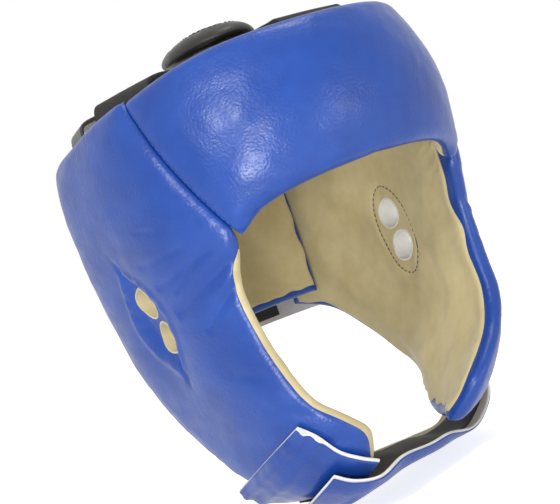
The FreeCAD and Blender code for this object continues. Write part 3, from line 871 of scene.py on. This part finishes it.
strapPiece("chin_tab_core", tab, ((0, 1), (0, 1)), 0, strapForm["core"][1], whiteCore, "root", "chin_tab",
           "suede_lining", size=tabForm["size"], rise=tabFolds)
chinTab = strapPiece("chin_tab_leather", tab, ((0.004, 0.985), (0.012, 0.988)), strapForm["skin"],
                     strapForm["thickness"] + 0.4, blueLeather, "root", "chin_tab", "blue_leather",
                     size=tabForm["size"], rise=tabFolds, turn=0.6)
strapPiece("chin_loop_tape", tab, tabForm["loop"], strapForm["thickness"] + 0.5,
           strapForm["thickness"] + strapForm["tape"] + 0.3, loopTape, "root", "chin_loop_patch",
           "black_tape",
           size=tabForm["size"])
tabTree = treeOf(chinTab)
tabLines = [settle(tab([at], np.linspace(0.05, 0.95, 50))[0], [tabTree], stitch["sunk"])
            for at in (0.2, 0.38)]
stitches("chin_tab_stitches", tabLines, blueThread, "root", "blue_leather")

# Chin strap from the left cheek, under the chin and over the tab: each row from the turned-up lip over the
# fold under it to the rear edge.
chinForm = {
    "size": (205.0, 47.0), "hook": ((0.12, 0.98), (0.14, 0.8)), "overTab": 7.3, "overCheek": 1.95,
    "sewn": (0.078, -0.014, -0.080), "loose": (0.070, -0.016, -0.104), "passing": (0.58, 0.22),
    "knots": (0, 0.1, 0.55, 1), "bend": (1.0, 0.6, 0.15), "freeHalf": 32.0, "rows": [
        ((84.5, -41, -70), (84.7, -37, -76.5), (85.5, 8, -78)),
        ((84, -41, -86), (84, -38, -92), (83, 6, -95)),
        ((77.3, -42, -101.6), (76, -39, -105), (73, 1, -111)),
        ((61.1, -46, -107.5), (62.3, -42, -112.7), (55.7, -7, -118)),
        ((39.7, -56, -110), (41.6, -52, -114), (31.5, -14, -116)),
        ((19.8, -66, -109.5), (21.5, -62, -113.8), (11.7, -24, -112.6)),
        ((0, -73.5, -107.8), (0.7, -70, -112.3), (-9.2, -30, -109.8)),
        ((-24, -80, -104.8), (-24.1, -76, -110.9), (-26.4, -34, -108)),
        ((-43, -85.5, -103), (-43.6, -80, -109.7), (-42.3, -38, -107)),
        ((-56, -83.5, -102), (-57, -77, -110), (-54, -37, -119)),
        ((-66.5, -82.5, -96.5), (-71, -74, -102.9), (-66, -38, -115))]}
chinRows = []
for k, (lip, fold, rear) in enumerate(chinForm["rows"]):
    start, over = chinForm["passing"]
    share = smooth((k / (len(chinForm["rows"]) - 1) - start) / over)
    gap = chinForm["overCheek"] + share * (chinForm["overTab"] - chinForm["overCheek"])
    middle = tuple((a + b) / 2 for a, b in zip(fold, rear))
    row = np.array([p if abs(p[0]) < chinForm["freeHalf"] else outside(p, gap)
                    for p in (lip, fold, middle, rear)])
    if k < len(chinForm["bend"]):
        row[:, 0] -= chinForm["bend"][k] * bend(row[:, 2], np.degrees(np.arctan2(row[:, 0], -row[:, 1])))
    chinRows.append(row)


def chinSurface(u, v):
    return throughRows(chinRows, u, v, chinForm["knots"])


chin = Strap(chinSurface, (0, -0.1, -1))
chinSlack = lambda base, u, v: 0.3 * ripple(base, 34, 8)
chinLining = strapPiece("chin_strap_lining", chin, ((0.003, 0.997), (0.01, 0.99)), 0, 0.7, creamSuede, None,
                        "chin_strap", "suede_lining", size=chinForm["size"], rise=chinSlack, turn=0.3)
chinCore = strapPiece("chin_strap_core", chin, ((0, 1), (0, 1)), *strapForm["core"], whiteCore, None,
                      "chin_strap", "suede_lining", size=chinForm["size"], rise=chinSlack)
chinLeather = strapPiece("chin_strap_leather", chin, ((0.002, 0.996), (0.014, 0.986)), strapForm["skin"],
                         strapForm["thickness"] + 0.2, blueLeather, None, "chin_strap", "blue_leather",
                         size=chinForm["size"], rise=chinSlack)
strapPiece("chin_hook_tape", chin, chinForm["hook"], -strapForm["tape"],
           -strapForm["tapeGap"] + 0.1, hookTape,
           "chin_strap", "chin_hook_patch", "black_tape", size=chinForm["size"], rise=chinSlack)
# the sewn end stays on the cheek; these pieces ride on no body, so their placement is baked into their meshes
for piece in (chinLining, chinCore, chinLeather):
    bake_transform(piece)
print("chin pieces made")

# Rear closure round the back: angles and heights, and depths outside the form.
backForm = {"sewn": 128.0, "free": 214.0, "low": -34.0, "high": 15.0, "margin": 3.0, "loop": (182.0, 224.0),
            "loopHeights": (-12.0, 12.0), "hookStart": 158.0, "loopOut": (0.65, 1.95), "hookOut": (2.3, 3.6),
            "strapOut": (3.7, 6.1), "size": (150.0, 49.0)}


def band(start, end, low, high):
    return Strap(lambda u,
                 v: wall((low + (high - low) * v)[None, :], (start + (end - start) * u)[:, None], 0),
                 (0, 1, 0))


strapBand = band(backForm["sewn"], backForm["free"], backForm["low"], backForm["high"])
backSlack = lambda base, u, v: 0.25 * ripple(base, 30, 9)
strapPiece("rear_strap_lining", strapBand, ((0, 1), (0, 1)), backForm["strapOut"][0],
           backForm["strapOut"][0] + 1.4,
           whiteCore, "rear_strap", "rear_strap", "suede_lining", size=backForm["size"])
rearLeather = strapPiece("rear_strap_leather", strapBand, ((0.002, 0.996), (0.012, 0.988)),
                         backForm["strapOut"][0] + 1.2, backForm["strapOut"][1], blueLeather, "rear_strap",
                         "rear_strap", "blue_leather", size=backForm["size"], rise=backSlack)
hookBand = band(backForm["hookStart"], backForm["free"] - 1, backForm["low"] + backForm["margin"],
                backForm["high"] - backForm["margin"])
strapPiece("rear_hook_tape", hookBand, ((0, 1), (0, 1)), *backForm["hookOut"], hookTape, "rear_strap",
           "rear_hook_patch", "black_tape", size=(100, 43))
loopBand = band(*backForm["loop"], *backForm["loopHeights"])
strapPiece("rear_loop_tape", loopBand, ((0, 1), (0, 1)), *backForm["loopOut"], loopTape, "rear_pad",
           "rear_loop_patch", "black_tape", size=(75, 24))


def rimLines(surface, size, inset, tree, count=90):
    # lines this far inside the borders of a strap
    a, b = inset / size[0], inset / size[1]
    u = np.linspace(a, 1 - a, count)
    lines = [surface(u, np.array([b, 0.5, 1 - b]))[:, k] for k in (0, 2)]
    v = np.linspace(b, 1 - b, count // 2)
    lines.append(surface(np.array([a, 2 * a, 0.5]), v)[0])
    lines.append(surface(np.array([0.5, 1 - 2 * a, 1 - a]), v)[2])
    return [settle(line, [tree], stitch["sunk"]) for line in lines]


chinLines = rimLines(chin, chinForm["size"], strapForm["stitched"], treeOf(chinLeather))
chinStitches = stitches("chin_strap_stitches", chinLines, blueThread, None, "blue_leather")
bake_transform(chinStitches)
rearLines = rimLines(strapBand, backForm["size"], strapForm["stitched"], treeOf(rearLeather))
stitches("rear_strap_stitches", rearLines, blueThread, "rear_strap", "blue_leather")
print("rear pieces made")

# Crown: a dome-shaped leather disc over two elastic side straps, a front strap and two leather rear straps.
crownForm = {
    "height": 147.0, "centre": 8.0, "radii": (62.0, 170.0), "patch": (52.0, 72.0), "thickness": 11.0,
    "turn": 9.0,
    "elastic": 2.2, "leather": 2.4, "lining": 1.2, "liningUnder": 18.2, "foot": 101.0, "upright": 11.0,
    "shares": (0.05, 0.2, 0.45, 0.75, 1.0), "rib": 1.65, "ribHeight": 0.34}


def dome(x, y, under):
    across, along_ = crownForm["radii"]
    return crownForm["height"] - under - x * x / (2 * across) - (y - crownForm["centre"]) ** 2 / (2 * along_)


def crownDisc(name, under, thickness, smaller, turn, material, rise):
    # rings of an oval, its border a round roll, both faces closed in the middle
    half, long_ = crownForm["patch"][0] / 2 - smaller, crownForm["patch"][1] / 2 - smaller
    sides, rings = 120, np.concatenate([np.linspace(0.02, 1 - turn / half, 22),
                                        1 - turn / half * np.array([0.8, 0.6, 0.42, 0.27, 0.15, 0.06,
                                                                    0.015, 0])])
    k = np.linspace(0, 2 * math.pi, sides, endpoint=False)
    x, y = rings[:, None] * half * np.cos(k), crownForm["centre"] + rings[:, None] * long_ * np.sin(k)
    inset = (1 - rings[:, None]) * half + 0 * x
    bend = (thickness / 2 - 0.05) * (1 - np.sqrt(np.maximum(1 - np.clip(1 - inset / turn, 0, 1) ** 2, 0)))
    top, low = dome(x, y, under + bend - rise(x, y, inset)), dome(x, y, under + thickness - bend)
    points = np.concatenate([np.stack([x, y, z], -1).reshape(-1, 3) for z in (top, low)])
    points = np.concatenate([points, [[0, crownForm["centre"], dome(0, crownForm["centre"], d)]
                                      for d in (under - float(rise(0, crownForm["centre"], half)),
                                                under + thickness)]])
    n, last = len(rings) * sides, len(points)
    quads = []
    for face in (0, 1):
        at = np.arange(n).reshape(len(rings), sides) + face * n
        nxt = np.roll(at, -1, 1)
        quads += np.stack([at[:-1], at[1:], nxt[1:], nxt[:-1]], -1).reshape(-1, 4).tolist()
        quads += [[int(a), int(b), last - 2 + face] for a, b in zip(at[0], nxt[0])]
    rim = np.arange(sides) + n - sides
    quads += [[int(a), int(b), int(b + n), int(a + n)] for a, b in zip(rim, np.roll(rim, -1))]
    return finishMesh(toObject(name, points, quads, material))


def crownCushion(x, y, inset):
    # a sewn channel runs round inside the border and the middle is softly full
    places = np.stack(np.broadcast_arrays(x, y), -1) * 1.0
    return (-0.7 * np.exp(-((inset - crownForm["turn"]) / 1.3) ** 2) + 0.4 * ripple(places, 30, 3) - 0.4
            + 0.16 * np.exp(-((inset - 8) / 5) ** 2) * ripple(places, 7, 4))


crownPad = crownDisc("crown_pad_leather", 0, crownForm["thickness"], 0, crownForm["turn"], blackLeather,
                     crownCushion)
dress(crownPad, "root", ("crown_pad",))
crownTree = treeOf(crownPad)
turn = np.linspace(0, 2 * math.pi, 120)
rim = np.stack([(crownForm["patch"][0] / 2 - crownForm["turn"]) * np.cos(turn), crownForm["centre"]
                + (crownForm["patch"][1] / 2 - crownForm["turn"]) * np.sin(turn), 0 * turn + 150], -1)
stitches("crown_stitches", [settle(rim, [crownTree], stitch["sunk"])], blackThread, "root", "black_leather")
crownSkin = crownDisc("crown_lining_suede", crownForm["liningUnder"], crownForm["lining"], 3, 0.6, blackSuede,
                      lambda x, y, inset: 0.0 * x * y)
dress(crownSkin, "root", ("crown_lining",))


def crownStrap(foot, end, width, heights):
    # sewn upright inside its pad, then over to the crown at a height for each share of the way
    way = np.array([end[0] - foot[0], end[1] - foot[1], 0.0])
    across = np.array([-way[1], way[0], 0]) / np.linalg.norm(way) * width / 2
    rows = [[np.array([foot[0], foot[1], crownForm["foot"] + lift]) + across * k for k in (-1, 0, 1)]
            for lift in (0, crownForm["upright"])]
    for share, height in zip(crownForm["shares"], heights):
        middle = np.array([foot[0], foot[1], 0]) + way * share
        at = [middle + across * k for k in (-1, 0, 1)]
        rows.append([np.array([p[0], p[1], height + share * (dome(*p[:2], 0) - dome(*middle[:2], 0))])
                     for p in at])
    return Strap(lambda u, v: throughRows(rows, u, v), (0, 0, -1))


footHalf = float(along(formLevels, crownForm["foot"])) - 18
footFront = float(along(formLevels, crownForm["foot"], 2)) - 20
crownHeights = {"elastic": (119.5, 121.8, 122, 125, 132.3), "leather": (117, 119.5, 121.5, 125, 129.6),
                "front": (124, 126, 127.5, 130, 132.3)}
crownStraps = {
    "front": ((0, -footFront), (0, -22), 40, "front"),
    "left": ((footHalf, -26), (22, -26 / 3), 46, "elastic"),
    "right": ((-footHalf, -26), (-22, -26 / 3), 46, "elastic"),
    "rear_left": ((footHalf - 2, 47), (20, 32), 44, "leather"),
    "rear_right": ((2 - footHalf, 47), (-20, 32), 44, "leather")}


def ribs(base, u, v):
    # elastic is ribbed across its length
    far = np.pad(np.linalg.norm(np.diff(base, axis=0), axis=-1).cumsum(0), ((1, 0), (0, 0)))
    return crownForm["ribHeight"] * (1 - np.abs(np.sin(math.pi * far / crownForm["rib"])))


for name, (foot, end, width, kind) in crownStraps.items():
    path = crownStrap(foot, end, width, crownHeights[kind])
    line = path(np.linspace(0, 1, 60), np.array([0.5]))[:, 0]
    length = np.linalg.norm(np.diff(line, axis=0), axis=-1).sum()
    if kind != "leather":
        strapPiece("crown_elastic_" + name, path, ((0, 1), (0, 1)), 0, crownForm["elastic"] - 0.3,
                   elastic, "root",
                   "crown_strap_" + name, "black_elastic", size=(length, width), step=0.42,
                   turn=0.6, rise=ribs)
    else:
        strapPiece("crown_strap_leather_" + name, path, ((0, 1), (0, 1)), 0, crownForm["leather"],
                   blackLeather,
                   "root", "crown_strap_" + name, "black_leather", size=(length, width), turn=0.9,
                   rise=lambda base, u, v: 0.2 * ripple(base, 25, 12))
print("crown made")

# Studio: the camera looks slightly down on the face from the wearer's right front, rolled with the headgear.
view = {"place": (-0.3524, -0.5779, 0.0326), "towards": (-0.52, -0.853, 0.048), "roll": 19.37, "lens": 75.0,
        "shift": (-0.0219, 0.0304)}
away = Vector(view["towards"]).normalized()
right = Vector((0, 0, 1)).cross(away).normalized()
upright = away.cross(right)
roll = math.radians(view["roll"])
cameraRight = right * math.cos(roll) - upright * math.sin(roll)
cameraUp = right * math.sin(roll) + upright * math.cos(roll)
camera = linked("camera", bpy.data.cameras.new("camera"))
camera.data.lens, camera.data.sensor_width = view["lens"], 36
camera.data.shift_x, camera.data.shift_y = view["shift"]
camera.matrix_world = Matrix([[*row]
                              for row in zip(cameraRight, cameraUp, away, view["place"])] + [[0, 0, 0, 1]])
bpy.context.scene.camera = camera


def softbox(name, across, up, out, size, power):
    # an area lamp placed in the camera's own directions, facing the headgear
    spot = cameraRight * across + cameraUp * up + away * out
    lamp = bpy.data.lights.new(name, "AREA")
    lamp.shape, lamp.size, lamp.energy = "DISK", size, power
    piece = linked(name, lamp)
    piece.location = spot
    piece.rotation_euler = spot.to_track_quat("Z", "Y").to_euler()


softbox("key softbox", -0.6, 0.35, 0.95, 0.3, 4)
softbox("low softbox", -0.12, -0.12, 1.1, 0.3, 6)
softbox("fill softbox", 0.9, 0.1, 0.8, 0.5, 4)
softbox("top softbox", -0.1, 1.3, 0.2, 0.5, 4)


def cameraSees(tree):
    # 1 for what the camera sees directly, in a mirror or through glass
    path = addNode(tree, "ShaderNodeLightPath").outputs
    both = addNode(tree, "ShaderNodeMath", {0: path["Is Camera Ray"], 1: path["Is Glossy Ray"]},
                   operation="MAXIMUM")
    return addNode(tree, "ShaderNodeMath", {0: both.outputs["Value"], 1: path["Is Transmission Ray"]},
                   operation="MAXIMUM").outputs["Value"]


studio = {"sky": 0.42, "glow": 0.7}
world = bpy.data.worlds.new("studio")
bpy.context.scene.world = world
world.use_nodes = True
sky = world.node_tree.nodes["Background"]
strength = addNode(world.node_tree, "ShaderNodeMapRange", {"Value": cameraSees(world.node_tree)},
                   {"To Min": studio["sky"], "To Max": 1.0})
world.node_tree.links.new(strength.outputs["Result"], sky.inputs["Strength"])
sky.inputs["Color"].default_value = (1, 1, 1, 1)

studioPaper, tree, shader = newMaterial("white studio paper", Roughness=0.9)
shader.inputs["Base Color"].default_value = linear("#f4f4f3")
glow = addNode(tree, "ShaderNodeEmission", values={"Color": (1, 1, 1, 1), "Strength": studio["glow"]})
lit = addNode(tree, "ShaderNodeAddShader", {0: shader.outputs["BSDF"], 1: glow.outputs["Emission"]})
mixed = addNode(tree, "ShaderNodeMixShader", {0: cameraSees(tree), 1: shader.outputs["BSDF"],
                                              2: lit.outputs["Shader"]})
tree.links.new(mixed.outputs["Shader"], tree.nodes["Material Output"].inputs["Surface"])
floorForm = {"half": 3.0, "under": 0.0005}
low = cadBox[0][2] - floorForm["under"]
paper = bpy.data.meshes.new("studio floor")
paper.from_pydata([(x * floorForm["half"], y * floorForm["half"], low) for x, y in
                   ((-1, -1), (1, -1), (1, 1), (-1, 1))], [], [(0, 1, 2, 3)])
floor = linked("studio floor", paper)
floor.data.materials.append(studioPaper)
bpy.context.scene.view_settings.view_transform = "Standard"
